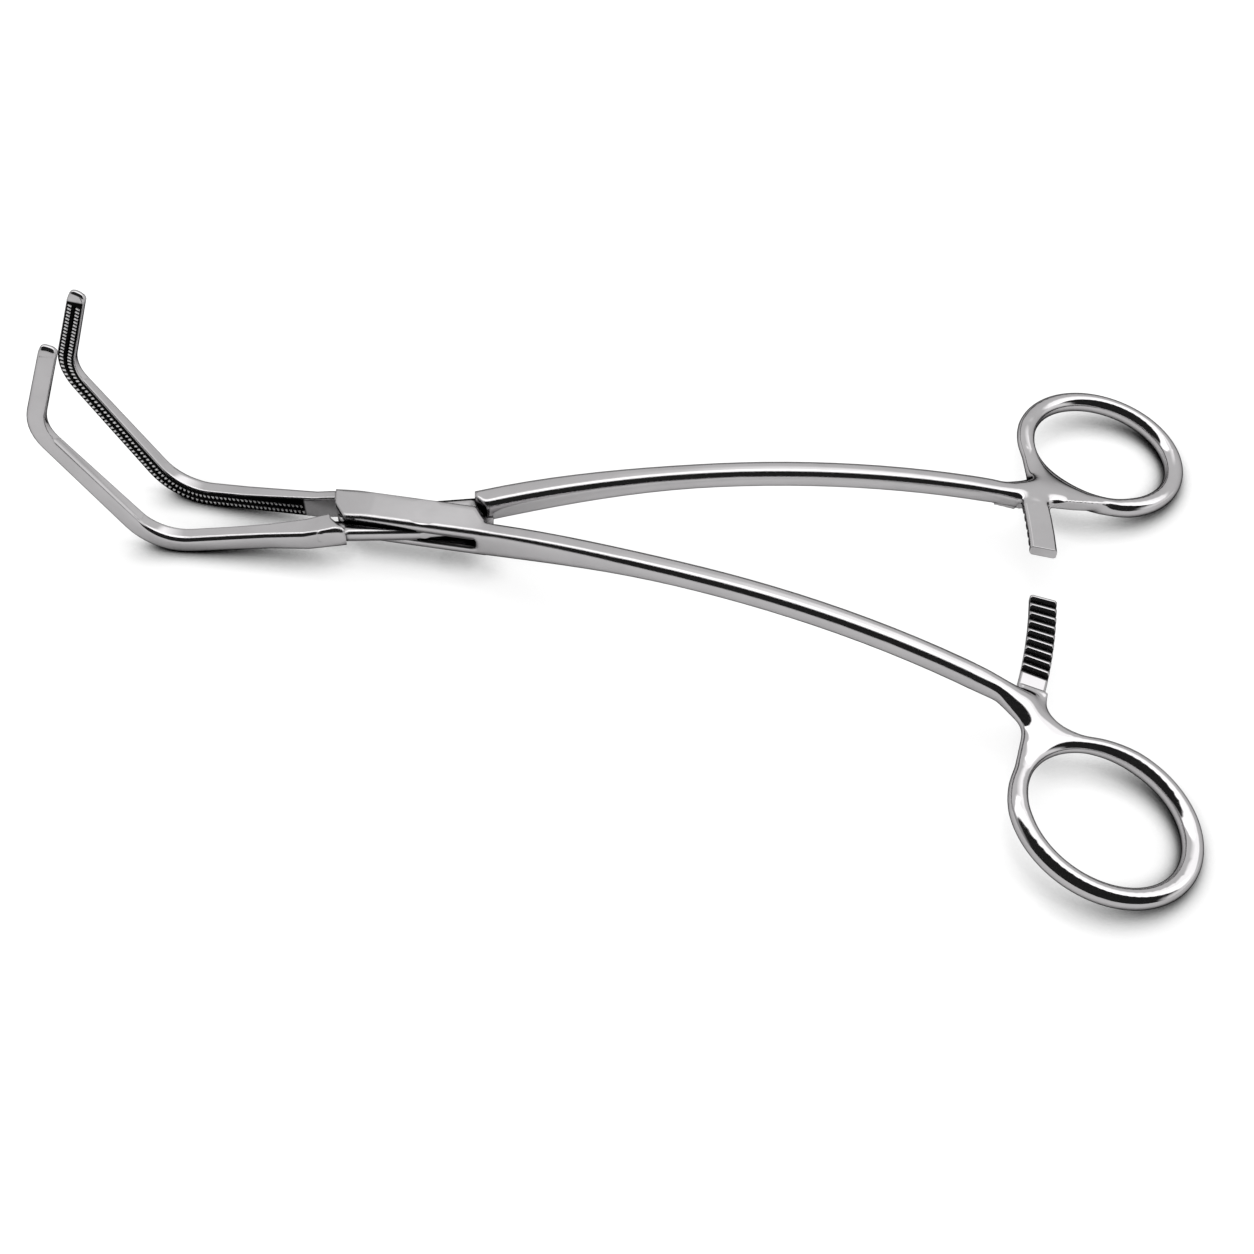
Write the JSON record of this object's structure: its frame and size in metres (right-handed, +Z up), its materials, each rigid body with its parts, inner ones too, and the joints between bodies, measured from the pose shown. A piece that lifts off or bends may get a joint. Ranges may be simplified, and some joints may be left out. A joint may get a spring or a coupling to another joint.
{
  "type": "tissue forceps",
  "caption": "Ring-handled clamping forceps with a box lock, a ratchet and long toothed jaws that are cranked twice, out of the plane of the rings.",
  "frame": {"origin": "on the table, under the middle of the part's box", "axes": "+X from the jaws to the finger rings, +Y away from the handle of the half with the box, +Z up along the lock pin"},
  "size_m": [0.2365, 0.134, 0.0552],
  "materials": {
    "steel": "mirror-polished stainless steel",
    "pin_steel": "polished stainless steel, ground flush"
  },
  "bodies": {
    "box_side": {"box_half": "steel", "lock_pin": "pin_steel"},
    "tongue_side": {"tongue_half": "steel"}
  },
  "joints": [
    {"name": "lock_hinge", "type": "hinge", "parent": "box_side", "child": "tongue_side", "pos_m": [-0.04135, 0, 0.0092], "axis": [0, 0, 1], "range_deg": [-11.8, 30]}
  ]
}
